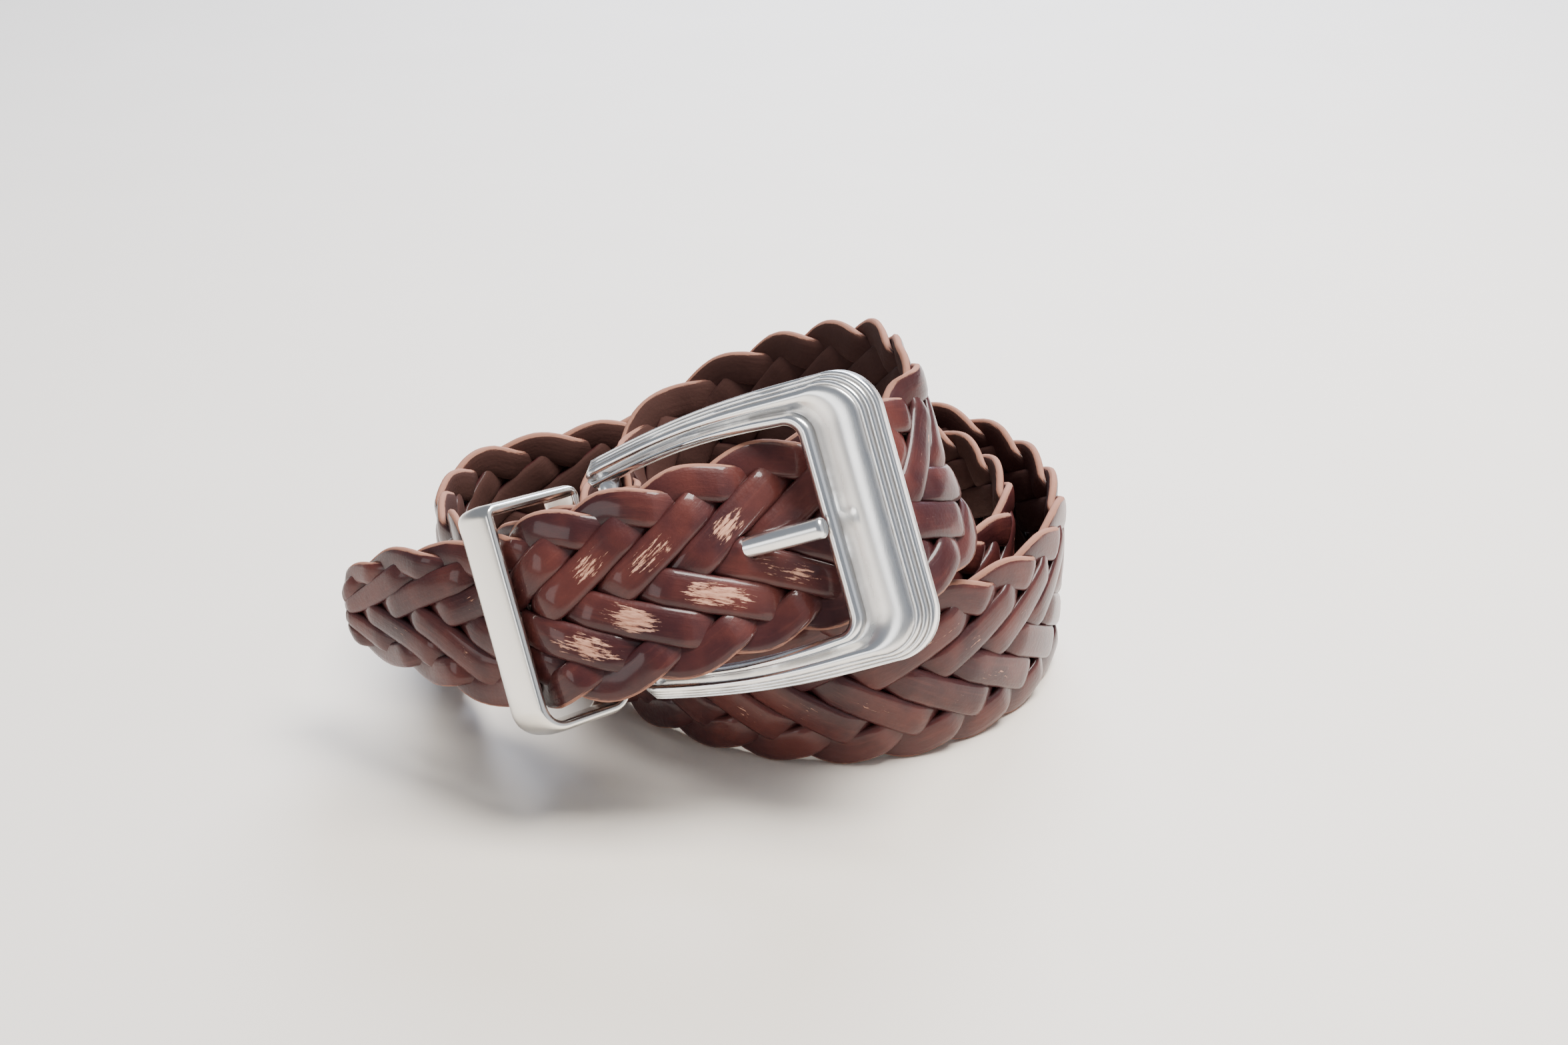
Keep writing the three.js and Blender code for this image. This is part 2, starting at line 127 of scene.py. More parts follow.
def rolled_tube(
    name: str,
    steps: int,
    sides: int,
    place: Place,
    marks: Marks | None = None,
    ring: bool = False,
    sharp: float = 180.0,
    shift: float = 0.0,
) -> bpy.types.Object:
    """Rolls a flat grid into a tube, with its own UV map and marks.

    Args:
        name: The piece's name.
        steps: Segments along the tube.
        sides: Segments round it.
        place: Gives the point for a share along and a share round.
        marks: Gives four numbers for the same shares, kept in the attribute belt_marks.
        ring: True where the tube's ends meet.
        sharp: Edges that turn by more than this many degrees are creases.
        shift: Added to the UV map along the tube, so that pieces don't repeat each other.

    Returns:
        The new object.
    """
    sheet = bmesh.new()
    chart = sheet.loops.layers.uv.new("along_round")
    layer = sheet.verts.layers.float_color.new("belt_marks")
    bmesh.ops.create_grid(sheet, x_segments=steps, y_segments=sides, size=0.5)
    for face in sheet.faces:
        for loop in face.loops:
            loop[chart].uv = (loop.vert.co.x + 0.5 + shift, loop.vert.co.y + 0.5)
    for vert in sheet.verts:
        along, turn = vert.co.x + 0.5, vert.co.y + 0.5
        vert[layer] = marks(along, turn) if marks else (0, 0, 0, 1)
        vert.co = place(along, turn)
    bmesh.ops.remove_doubles(sheet, verts=sheet.verts, dist=1e-6)
    if not ring:
        rims = [edge for edge in sheet.edges if edge.is_boundary]
        bmesh.ops.holes_fill(sheet, edges=rims, sides=0)
    bmesh.ops.recalc_face_normals(sheet, faces=sheet.faces)
    for edge in sheet.edges:
        if edge.is_manifold and math.degrees(edge.calc_face_angle(0.0)) > sharp:
            edge.smooth = False
    return link_piece(name, sheet)


@dataclass(frozen=True)
class BuckleSizes:
    """Sizes of the frame, prong and keeper, and how the buckle hangs on the coil."""

    length: float = 0.057
    thickness: float = 0.005
    far_bar: float = 0.0155
    far_arm: float = 0.0074
    near_arm: float = 0.0052
    near_window: float = 0.0336
    arm_bulge: float = 0.0016
    outer_corner: float = 0.0085
    inner_corner: float = 0.003
    hinge_radius: float = 0.0022
    hinge_inset: float = 0.0035
    prong_radius: float = 0.0019
    prong_reach: float = 0.0016
    keeper_width: float = 0.0095
    keeper_metal: float = 0.0017
    keeper_play: float = 0.0009
    loose_space: float = 0.0065
    keeper_round: float = 0.005
    keeper_crisp: float = 0.0011
    keeper_dome: float = 0.00045
    keeper_turn: float = math.radians(26)
    keeper_drop: float = 0.0016
    clearance: float = 0.0003
    fold_clearance: float = 0.001
    window_play: float = 0.0009
    layer_play: float = 0.0017
    yaw: float = math.radians(-22)
    lean: float = math.radians(-18.5)
    roll: float = math.radians(-24)
    right: float = 0.33
    front: float = -1.19
    rise: float = 1.655


@dataclass(frozen=True)
class StrapSizes:
    """Sizes of the strap and its coil."""

    width: float = 0.036
    thickness: float = 0.0045
    pitch: float = 0.0135
    tip_length: float = 0.060
    tip_width: float = 0.0105
    tip_roundness: float = 0.5
    coil_radius: float = 0.049
    coil_step: float = 15.0
    origin: Vector = field(default_factory=lambda: Vector((0.018643, 0.010510, 0)))


@dataclass(frozen=True)
class Station:
    """A point of the strap's middle line and its tilt, from upright (0) to the buckle's lean (1)."""

    point: Vector
    tilt: float


class BucklePlace:
    """Where the buckle and its keeper are, in the belt's own frame before it is centred."""

    def __init__(self, sizes: BuckleSizes, strap: StrapSizes) -> None:
        """Works out the buckle's place.

        Args:
            sizes: The buckle's sizes.
            strap: The strap's sizes.
        """
        self.sizes, self.strap = sizes, strap
        hang = (
            Quaternion((0, 0, 1), sizes.yaw)
            @ Quaternion((1, 0, 0), sizes.lean)
            @ Quaternion((0, 1, 0), sizes.roll)
        )
        self.turn = hang @ Quaternion((1, 0, 0), math.pi / 2)
        self.corner = Vector(
            (sizes.right * strap.coil_radius, sizes.front * strap.coil_radius, sizes.rise * strap.width)
        )
        self.height_axis = self.turn @ Vector((0, 1, 0))
        half = strap.thickness / 2
        self.hinge_x = sizes.hinge_inset - sizes.length
        self.fold_radius = sizes.hinge_radius + sizes.fold_clearance + half
        self.tail_over = sizes.hinge_radius + sizes.fold_clearance + 2 * strap.thickness + half
        self.tail_behind = -(sizes.thickness / 2 + sizes.clearance + half)
        self.eye_radius = sizes.hinge_radius + sizes.clearance + sizes.prong_radius
        depth = 2 * strap.thickness + sizes.loose_space + 2 * sizes.keeper_play
        self.keeper_front = half + sizes.keeper_play
        self.keeper_back = depth - self.keeper_front
        self.keeper_x = (
            self.hinge_x
            - (self.eye_radius + 2 * sizes.clearance)
            - (sizes.keeper_width / 2) * math.cos(sizes.keeper_turn)
            - (self.keeper_back + sizes.keeper_metal) * math.sin(sizes.keeper_turn)
        )
        self.keeper_swing = Quaternion((0, 1, 0), -sizes.keeper_turn)

    def point(self, x: float, y: float, z: float) -> Vector:
        """Returns a point of the buckle's axes in the belt's frame."""
        return self.corner + self.turn @ Vector((x, y, z))

    def in_buckle(self, x: float, z: float, drop: float = 0.0) -> Vector:
        """Returns a point of the strap's middle line beside the buckle."""
        return self.point(x, -drop, z)

    def in_keeper(self, along: float, out: float, drop: float = 0.0) -> Vector:
        """Returns a point beside the keeper: along to the tip, out from the coil."""
        local = self.keeper_swing @ Vector((-along, 0, out))
        return self.in_buckle(self.keeper_x + local.x, self.tail_over + local.z, drop)

    def prong_line(self) -> list[Vector]:
        """Returns the points of the prong's rod from its eye to the far bar, in the buckle's axes."""
        rest = self.sizes.thickness / 2 + self.sizes.clearance + self.sizes.prong_radius
        start = self.eye_radius - self.sizes.prong_radius / 2
        end = self.sizes.prong_reach - self.sizes.far_bar
        rows = ((0.0, 0.0), (0.25, 0.8), (0.6, 1.23), (1.0, 1.0))
        return [Vector((lerp(self.hinge_x, end, a), 0, lerp(start, rest, lift))) for a, lift in rows]


LOOSE_START = (
    (-1.16, -0.765, 0.73, 0.8),
    (-1.41, -0.33, 0.56, 0.3),
    (-1.46, 0.08, 0.5, 0.0),
    (-1.345, 0.335, 0.5, 0.0),
    (-1.02, 0.52, 0.5, 0.0),
    (-0.61, 0.745, 0.5, 0.0),
)
RISING_TURN = (
    (-0.695, 0.05, 0.54, 0.05),
    (-0.62, 0.27, 0.68, 0.3),
    (-0.42, 0.355, 0.89, 0.6),
    (-0.17, 0.28, 1.13, 0.9),
    (0.09, 0.08, 1.36, 1.1),
    (0.3, -0.17, 1.52, 1.3),
    (0.41, -0.45, 1.58, 1.35),
    (0.45, -0.71, 1.56, 1.15),
)
FREE_TAIL = ((-1.42, -0.9, 0.84, 0.9), (-1.77, -0.63, 0.67, 0.8))
FLAT_TURNS = (
    (165, 0.94),
    (270, 1.0),
    (330, 1.0),
    (395, 0.93),
    (450, 0.905),
    (510, 0.805),
    (630, 0.8),
    (720, 0.715),
    (780, 0.72),
)
FOLDED_END = ((1.8, 0.4), (0.7, -0.1), (-0.2, -0.1))
STRAP_IN_KEEPER = (-0.3, 0.6)
BEHIND_BAR = ((0.35, 0.75), (0.75, 0.35))
THROUGH_WINDOW = ((0.12, -0.28), (0.33, 0.16), (0.52, 0.56), (0.74, 0.88), (1.0, 1.06))
THROUGH_KEEPER = ((-0.8, -0.13), (0.0, 0.0), (0.8, -0.05))


class StrapRoute:
    """The strap's middle line, with its axes at any distance from the folded end."""

    def __init__(self, strap: StrapSizes, place: BucklePlace) -> None:
        """Draws the line through its stations.

        Args:
            strap: The strap's sizes.
            place: Where the buckle hangs.
        """
        self.strap, self.place = strap, place
        self.stations = [
            *self._fold(),
            *self._loose(LOOSE_START),
            *self._flat(),
            *self._loose(RISING_TURN),
            *self._tail(),
            *self._loose(FREE_TAIL),
        ]
        self.window_station = len(self.stations) - len(FREE_TAIL) - len(THROUGH_KEEPER) - len(THROUGH_WINDOW)
        self._draw()
        count = round(self.length / strap.pitch)
        self.pitch = self.length / count
        sizes = place.sizes
        fold = math.pi * place.fold_radius + 2 * abs(place.keeper_x - place.hinge_x)
        self.fold_length = fold + (FOLDED_END[0][0] + 0.5) * sizes.keeper_width
        self.narrow = (sizes.near_window / 2 - sizes.window_play) / (strap.width / 2)

    def _loose(self, rows: Sequence[tuple[float, float, float, float]]) -> list[Station]:
        """Returns stations from rows of right, back, rise and tilt."""
        radius, width = self.strap.coil_radius, self.strap.width
        return [Station(Vector((r * radius, b * radius, h * width)), tilt) for r, b, h, tilt in rows]

    def _fold(self) -> list[Station]:
        """Returns the stations of the folded end, round the hinge bar and into the keeper."""
        place, strap, sizes = self.place, self.strap, self.place.sizes
        half = strap.thickness / 2
        strap_out = sizes.layer_play + half - place.keeper_back
        end_out = -place.keeper_back - sizes.keeper_metal - sizes.keeper_play - half
        found = [
            Station(place.in_keeper(along * sizes.keeper_width, end_out + out * strap.thickness), 1)
            for along, out in FOLDED_END
        ]
        for step in range(9):
            angle = -math.pi / 2 + math.pi * step / 8
            x = place.hinge_x + place.fold_radius * math.cos(angle)
            found.append(Station(place.in_buckle(x, place.fold_radius * math.sin(angle)), 1))
        for along in STRAP_IN_KEEPER:
            found.append(Station(place.in_keeper(along * sizes.keeper_width, strap_out), 1))
        return found

    def _flat(self) -> list[Station]:
        """Returns the stations of the flat turns on the table."""
        first, last = FLAT_TURNS[0][0], FLAT_TURNS[-1][0]
        steps = round((last - first) / self.strap.coil_step)
        found = []
        for step in range(steps + 1):
            degrees = first + (last - first) * step / steps
            upper = max(1, next(i for i, row in enumerate(FLAT_TURNS) if row[0] >= degrees - 1e-6))
            before, after = FLAT_TURNS[upper - 1], FLAT_TURNS[upper]
            share = smoothstep(degrees, before[0], after[0])
            reach = lerp(before[1], after[1], share) * self.strap.coil_radius
            angle = math.radians(degrees)
            point = Vector((-reach * math.sin(angle), -reach * math.cos(angle), self.strap.width / 2))
            found.append(Station(point, 0))
        return found

    def _tail(self) -> list[Station]:
        """Returns the stations of the tail from behind the far bar into the keeper."""
        place, strap, sizes = self.place, self.strap, self.place.sizes
        window = abs(place.hinge_x) - sizes.far_bar
        behind = [
            place.in_buckle(-across * sizes.far_bar, place.tail_behind - depth * strap.thickness)
            for across, depth in BEHIND_BAR
        ]
        through = [
            place.in_buckle(
                -sizes.far_bar - across * window, out * place.tail_over, max(0.0, out) * sizes.keeper_drop
            )
            for across, out in THROUGH_WINDOW
        ]
        keeper = [
            place.in_keeper(along * sizes.keeper_width, out * strap.thickness, sizes.keeper_drop)
            for along, out in THROUGH_KEEPER
        ]
        return [Station(point, 1) for point in (*behind, *through, *keeper)]

    def _draw(self) -> None:
        """Draws the centripetal curve finely, and finds the axes at each of its points."""
        points = [station.point for station in self.stations]
        ends = [2 * points[0] - points[1], *points, 2 * points[-1] - points[-2]]
        line: list[Vector] = []
        tilts: list[float] = []
        places: list[float] = []
        fine = 32
        for index in range(len(points) - 1):
            p0, p1, p2, p3 = ends[index : index + 4]
            d0, d1, d2 = ((b - a).length ** 0.5 for a, b in ((p0, p1), (p1, p2), (p2, p3)))
            t1 = ((p1 - p0) / d0 - (p2 - p0) / (d0 + d1) + (p2 - p1) / d1) * d1
            t2 = ((p2 - p1) / d1 - (p3 - p1) / (d1 + d2) + (p3 - p2) / d2) * d1
            c2 = -3 * p1 + 3 * p2 - 2 * t1 - t2
            c3 = 2 * p1 - 2 * p2 + t1 + t2
            last = index == len(points) - 2
            for step in range(fine + 1 if last else fine):
                t = step / fine
                line.append(p1 + t1 * t + c2 * t * t + c3 * t * t * t)
                tilts.append(lerp(self.stations[index].tilt, self.stations[index + 1].tilt, t))
                places.append(index + t)
        self.distances = [0.0]
        for a, b in zip(line, line[1:]):
            self.distances.append(self.distances[-1] + (b - a).length)
        self.length = self.distances[-1]
        self.frames: list[tuple[Vector, Vector, Vector, Vector]] = []
        for index, point in enumerate(line):
            along = (line[min(index + 1, len(line) - 1)] - line[max(index - 1, 0)]).normalized()
            height = UP.lerp(self.place.height_axis, tilts[index])
            height = (height - along * height.dot(along)).normalized()
            centre = Vector((point.x, point.y, max(point.z, self.strap.width / 2)))
            self.frames.append((centre + self.strap.origin, along, height, -along.cross(height)))
        window = next(i for i, share in enumerate(places) if share >= self.window_station)
        self.window_distance = self.distances[window]

    def at(self, distance: float) -> tuple[Vector, Vector, Vector, Vector]:
        """Finds the strap's axes at a distance from its folded end.

        Args:
            distance: Metres along the strap; beyond an end the line goes straight on.

        Returns:
            The middle point, the direction to the tip, the direction up the strap's width and the
            direction out of its grain side.
        """
        inside = min(max(distance, 0.0), self.length)
        upper = min(max(bisect_right(self.distances, inside), 1), len(self.distances) - 1)
        start, end = self.distances[upper - 1], self.distances[upper]
        share = (inside - start) / max(end - start, 1e-9)
        a, b = self.frames[upper - 1], self.frames[upper]
        point, along, height, outer = (a[k].lerp(b[k], share) for k in range(4))
        return point + along * (distance - inside), along, height, outer

    def fullness(self, distance: float) -> float:
        """Returns the strap's width at a distance, as a share of its full width."""
        inside = min(max(distance, 0.0), self.length)
        share = smoothstep(inside, self.fold_length, self.fold_length + self.strap.pitch)
        to_tip = min(1.0, (self.length - inside) / self.strap.tip_length)
        tip = self.strap.tip_width / self.strap.width
        return lerp(self.narrow, 1, share) * (tip + (1 - tip) * to_tip**self.strap.tip_roundness)


@dataclass(frozen=True)
class BraidSizes:
    """Sizes of the nine-strand herringbone braid."""

    strands: int = 9
    strand_width: float = 0.0066
    strand_thickness: float = 0.0022
    lift: float = 0.00112
    squareness: float = 2.5
    bend: float = 0.975
    first_loop: float = 0.875
    steps_per_crossing: int = 7
    sides: int = 16
    tip_spread: float = 0.55
    prong_room: float = 0.00025
    prong_near: float = 0.055
    tip_thinness: float = 0.6
    ragged_from: float = 0.8
    edge_roughness: float = 0.00014
    edge_grain: float = 1400.0


@dataclass(frozen=True)
class WearAndShadeSizes:
    """Where the strands are worn and where painted shade darkens their creases, along half of their way
    across the band and along the strap.
    """

    crown: float = 1.45
    crown_reach: float = 0.42
    drift: float = 0.5
    drift_grain: float = 45.0
    evenness: float = 0.94
    depth: float = 0.3
    depth_grain: float = 60.0
    away_from_buckle: float = 0.45
    window_fade: float = 0.01
    tail_end: tuple[float, float] = (0.062, 0.048)
    loop_reach: tuple[float, float] = (0.35, 0.9)
    edge_reach: tuple[float, float] = (0.62, 0.92)
    lower_rim: float = 0.6
    falling_rim: float = 0.15
    # Painted shade: darker where a strand runs under the others and along its side edges.
    crease_shade: float = 0.8
    crease_shade_levels: tuple[float, float] = (-0.6, 0.8)
    crease_shade_reach: tuple[float, float] = (0.8, 0.98)


class BraidedStrap:
    """The braid: nine flat strands that stand for the plain solid band."""

    WEAR_AND_SHADE = WearAndShadeSizes()
    # How far out a strand lies at each half pitch from an edge loop to the next.
    CROSSINGS = (0.0, -1.0, 1.0, 1.0, 1.0, -1.0, -1.0, -1.0, 1.0, 0.0)
    # How far apart the strands lie in the noise of their edges, of the scuffs' drift and of their depth.
    EDGE_SEED, DRIFT_SEED, DEPTH_SEED = 7.3, 5.1, 3.7
    DEPTH_LAYER = 4
    SLOPE_STEP = 0.02

    def __init__(self, sizes: BraidSizes, route: StrapRoute) -> None:
        """Keeps the braid's sizes and route.

        Args:
            sizes: The braid's sizes.
            route: The strap's middle line.
        """
        self.sizes, self.route = sizes, route
        self.reach = route.strap.width / 2 - sizes.strand_width / 2 - 0.0001
        place = route.place
        line = place.prong_line()
        self.prong = [place.corner + place.turn @ p + route.strap.origin for p in self._spread(line)]
        self.hinge = place.point(place.hinge_x, 0, 0) + route.strap.origin

    @staticmethod
    def _spread(points: list[Vector]) -> list[Vector]:
        """Returns points with the gaps between them divided evenly in four."""
        found = [a.lerp(b, step / 4) for a, b in zip(points, points[1:]) for step in range(4)]
        return [*found, points[-1]]

    def phase(self, strand: int, distance: float) -> float:
        """Returns pitches since the strand's last loop at the upper edge, from 0 to the strand count."""
        turns = distance / self.route.pitch - self.sizes.first_loop - strand
        return turns % self.sizes.strands

    def lateral(self, phase: float) -> float:
        """Returns how far up the band's width the strand's middle is at a phase."""
        k = self.sizes.bend
        swing = math.asin(k * math.cos(2 * math.pi * phase / self.sizes.strands)) / math.asin(k)
        return self.reach * swing

    def level(self, phase: float) -> float:
        """Returns how far out the strand lies at a phase: 1 over the others, -1 under them."""
        half = phase % (self.sizes.strands / 2)
        index = min(int(half * 2), len(self.CROSSINGS) - 2)
        share = smoothstep(half * 2 - index, 0, 1)
        start, end = self.CROSSINGS[index], self.CROSSINGS[index + 1]
        if index in (0, len(self.CROSSINGS) - 2):
            share = half * 2 - index
        return lerp(start, end, share)

    def make_room(self, point: Vector) -> Vector:
        """Moves a point of a strand aside where the prong comes through.

        Args:
            point: The point in the belt's frame.

        Returns:
            The same point, or one just clear of the prong.
        """
        radius = self.route.place.sizes.prong_radius + self.sizes.prong_room
        if (point - self.hinge).length > self.sizes.prong_near:
            return point
        nearest, gap = None, 1.0
        for a, b in zip(self.prong, self.prong[1:]):
            span = b - a
            share = min(1.0, max(0.0, (point - a).dot(span) / span.length_squared))
            foot = a + span * share
            if (point - foot).length < gap:
                nearest, gap = foot, (point - foot).length
        if nearest is None or gap > 2 * radius or gap < 1e-6:
            return point
        grown = (gap**5 + radius**5) ** 0.2
        return nearest + (point - nearest) * (grown / gap)

    def strand_point(self, strand: int, along: float, turn: float) -> Vector:
        """Finds a point on a strand's surface.

        Args:
            strand: Which strand, from 0.
            along: Share of the strap's length.
            turn: Share of the way round the strand's section; a quarter is its outer face.

        Returns:
            The point in the belt's frame.
        """
        sizes, route = self.sizes, self.route
        distance = along * route.length
        phase = self.phase(strand, distance)
        full = route.fullness(distance)
        rise = self.lateral(phase + self.SLOPE_STEP) - self.lateral(phase - self.SLOPE_STEP)
        slope = rise / (2 * self.SLOPE_STEP * route.pitch) * full
        norm = math.hypot(slope, 1)
        across, out = superellipse(turn, sizes.strand_width / 2, sizes.strand_thickness / 2, sizes.squareness)
        edge = max(0.0, abs(across) / (sizes.strand_width / 2) - sizes.ragged_from) / (1 - sizes.ragged_from)
        angle = 2 * math.pi * turn
        ring = (math.cos(angle) * 2, strand * self.EDGE_SEED + math.sin(angle))
        ragged = noise.noise(Vector((distance * sizes.edge_grain, *ring)))
        across += math.copysign(edge * ragged * sizes.edge_roughness, across)
        across *= min(1.0, full * (1 + sizes.tip_spread * (1 - full)))
        thin = lerp(sizes.tip_thinness, 1, full)
        place = distance - across * slope / norm
        lateral = self.lateral(phase) * full + across / norm
        point, _, height, outer = route.at(place)
        lift = self.level(phase) * sizes.lift * thin
        return self.make_room(point + height * lateral + outer * (lift + out * thin))

    def strand_marks(self, strand: int, along: float, turn: float) -> tuple[float, float, float, float]:
        """Finds where a strand is worn, darkened by painted shade and cut.

        Args:
            strand: Which strand, from 0.
            along: Share of the strap's length.
            turn: Share of the way round its section.

        Returns:
            How worn the crown is, how dark the painted shade in the creases is, how bare the cut edge
            is, and how far the point faces out of the grain side.
        """
        route, count, wear_and_shade = self.route, self.sizes.strands, self.WEAR_AND_SHADE
        distance = along * route.length
        phase = self.phase(strand, distance)
        half = phase % (count / 2)
        face = math.sin(2 * math.pi * turn)
        edge = abs(math.cos(2 * math.pi * turn))
        drift = noise.noise(Vector((distance * wear_and_shade.drift_grain, strand * self.DRIFT_SEED, 0)))
        seed = (strand * self.DEPTH_SEED, self.DEPTH_LAYER)
        depth = noise.noise(Vector((distance * wear_and_shade.depth_grain, *seed)))
        crown = math.exp(-(((half - wear_and_shade.crown - wear_and_shade.drift * drift) / wear_and_shade.crown_reach) ** 2))
        crown *= wear_and_shade.evenness + wear_and_shade.depth * depth
        over_buckle = smoothstep(distance, route.window_distance, route.window_distance + wear_and_shade.window_fade)
        over_buckle *= 1 - smoothstep(distance, *(route.length - end for end in wear_and_shade.tail_end))
        worn = crown * max(face, 0.0) ** 3 * lerp(wear_and_shade.away_from_buckle, 1.0, over_buckle)
        # Painted shade where the strand lies under the others and along its side edges.
        under = smoothstep(-self.level(phase), *wear_and_shade.crease_shade_levels)
        crease_shade = max(under, wear_and_shade.crease_shade * smoothstep(edge, *wear_and_shade.crease_shade_reach))
        side = Side.FALLING if phase < count / 2 else Side.RISING
        loop_phase = min(phase, count - phase)
        upper_loop = 1 - smoothstep(loop_phase, *wear_and_shade.loop_reach)
        lower_loop = 1 - smoothstep(abs(phase - count / 2), *wear_and_shade.loop_reach)
        upward = math.cos(2 * math.pi * turn) > 0
        rim = upper_loop if upward else wear_and_shade.lower_rim * lower_loop
        if side is Side.FALLING:
            rim = max(rim, wear_and_shade.falling_rim)
        bare = smoothstep(edge, *wear_and_shade.edge_reach) * rim
        return worn, crease_shade, bare, 0.5 + 0.5 * face

    def build(self) -> list[bpy.types.Object]:
        """Makes the strands.

        Returns:
            The nine pieces, which stand for the strap.
        """
        crossings = round(self.route.length / self.route.pitch) * 2
        steps = crossings * self.sizes.steps_per_crossing
        pieces = []
        for strand in range(self.sizes.strands):
            piece = rolled_tube(
                f"strand_{strand + 1}",
                steps,
                self.sizes.sides,
                lambda along, turn, s=strand: self.strand_point(s, along, turn),
                lambda along, turn, s=strand: self.strand_marks(s, along, turn),
                shift=float(strand),
            )
            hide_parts("strap")
            pieces.append(piece)
        return pieces


class BucklePart:
    """A part of the buckle, in the buckle's axes."""

    def __init__(self, place: BucklePlace, origin: Vector) -> None:
        """Keeps where the buckle is.

        Args:
            place: The buckle's place.
            origin: From the belt's own frame to the centred one.
        """
        self.place, self.sizes, self.origin = place, place.sizes, origin

    def spot(self, x: float, y: float, z: float) -> Vector:
        """Returns a point of the buckle's axes in the centred frame."""
        return self.place.point(x, y, z) + self.origin


class CastFrame(BucklePart):
    """The U-shaped cast frame with its stepped reeds, hollow valley and inner bead."""

    REEDS = 0.0033
    BEAD = 0.0031
    FULL_SECTION = 0.0105
    LEAST_DEPTH = 0.5
    BACK_EDGE, BACK_SIDE, BACK_DRAFT = 0.0007, 0.0008, 0.0001
    END_ROUND = 0.0024
    END_THICKNESS = 0.4
    ARM_STEPS, CORNER_STEPS, BAR_STEPS = 28, 20, 12
    # Rows of the section: millimetres from the outer edge, level under the face, and painted groove shade, 1
    # in a groove.
    REED_ROWS = (
        (0.0, -2.0, 0.0),
        (0.1, -1.62, 0.0),
        (0.35, -1.42, 0.0),
        (0.8, -1.4, 0.2),
        (1.1, -1.52, 1.0),
        (1.18, -1.0, 0.6),
        (1.45, -0.78, 0.0),
        (1.9, -0.76, 0.2),
        (2.2, -0.9, 1.0),
        (2.28, -0.42, 0.6),
        (2.55, -0.18, 0.0),
        (3.0, -0.14, 0.2),
        (3.3, -0.26, 1.0),
    )
    # Rows of the section: share of the way from the reeds to the bead, level under the face, groove shade,
    # painted shade that is darkest in the valley by the bead.
    BAND_ROWS = (
        (0.02, 0.02, 0.6),
        (0.1, 0.2, 0.0),
        (0.28, 0.34, 0.0),
        (0.46, 0.2, 0.0),
        (0.6, -0.25, 0.0),
        (0.74, -0.85, 0.15),
        (0.86, -1.3, 0.45),
        (0.95, -1.5, 0.8),
        (1.0, -1.5, 1.0),
    )
    # Rows of the section: millimetres back from the inner edge, level under the face, groove shade.
    BEAD_ROWS = (
        (2.95, -1.05, 0.5),
        (2.65, -0.5, 0.0),
        (2.2, -0.08, 0.0),
        (1.6, 0.05, 0.0),
        (1.0, -0.12, 0.0),
        (0.45, -0.55, 0.0),
        (0.12, -1.1, 0.0),
        (0.0, -1.7, 0.0),
    )

    def _outline(self, inset: float, near: float, far: float, corner: float) -> list[tuple[float, float]]:
        """Draws half of an outline, from the upper arm's end to the middle of the far bar.

        Args:
            inset: How far the bar's line is from the far end.
            near: Half of the outline's height at the hinge end.
            far: Half of its height at the far end.
            corner: The corner's radius.

        Returns:
            Points across and up, for the whole U from the lower arm to the upper one.
        """
        sizes = self.sizes
        slope = math.atan2(far - near, sizes.length - inset)
        turn = math.pi / 2 + slope
        reach = corner * math.tan(turn / 2)
        start_x, start_y = -sizes.length, near
        end_x, end_y = -inset - reach * math.cos(slope), far - reach * math.sin(slope)
        arm = []
        for step in range(self.ARM_STEPS):
            share = step / self.ARM_STEPS
            x, y = lerp(start_x, end_x, share), lerp(start_y, end_y, share)
            arm.append((x, y + sizes.arm_bulge * math.sin(math.pi * share)))
        centre_x, centre_y = -inset - corner, far - reach
        for step in range(self.CORNER_STEPS + 1):
            angle = turn * (1 - step / self.CORNER_STEPS)
            arm.append((centre_x + corner * math.cos(angle), centre_y + corner * math.sin(angle)))
        top_y = arm[-1][1]
        for step in range(1, self.BAR_STEPS + 1):
            arm.append((arm[-1][0], top_y * (1 - step / self.BAR_STEPS)))
        lower = [(x, -y) for x, y in arm[:-1]]
        return [*lower, *reversed(arm)]

    def section(self, width: float) -> list[tuple[float, float, float]]:
        """Lays out the section for one width of the frame.

        Args:
            width: Metres from the outer to the inner edge.

        Returns:
            Rows of distance from the outer edge, height over the middle and the groove's painted shade, all
            the way round.
        """
        half = self.sizes.thickness / 2
        squeeze = min(1.0, width / self.FULL_SECTION)
        depth = max(squeeze, self.LEAST_DEPTH)
        back = self.BACK_SIDE - half
        reeds, bead = self.REEDS * squeeze, self.BEAD * squeeze
        rows = [(x * MM * squeeze, half + z * MM, g) for x, z, g in self.REED_ROWS]
        rows += [(lerp(reeds, width - bead, s), half + z * MM * depth, g) for s, z, g in self.BAND_ROWS]
        rows += [(width - x * MM * squeeze, half + z * MM, g) for x, z, g in self.BEAD_ROWS]
        # The back's sides carry a little painted shade.
        rows += [(width - self.BACK_DRAFT, back, 0.3), (width - self.BACK_EDGE, -half, 0.0)]
        rows += [(self.BACK_EDGE, -half, 0.0), (0.0, back, 0.3)]
        return rows

    def build(self) -> list[bpy.types.Object]:
        """Makes the frame and its hinge bar.

        Returns:
            The two pieces.
        """
        sizes = self.sizes
        near, far = sizes.near_window / 2, self.place.strap.width / 2 + sizes.window_play
        outer = self._outline(0, near + sizes.near_arm, far + sizes.far_arm, sizes.outer_corner)
        inner = self._outline(sizes.far_bar, near, far, sizes.inner_corner)
        steps = len(outer) - 1
        sides = len(self.section(self.FULL_SECTION))
        table = []
        for (ox, oy), (ix, iy) in zip(outer, inner):
            width = math.hypot(ix - ox, iy - oy)
            table.append((ox, oy, (ix - ox) / width, (iy - oy) / width, width, self.section(width)))

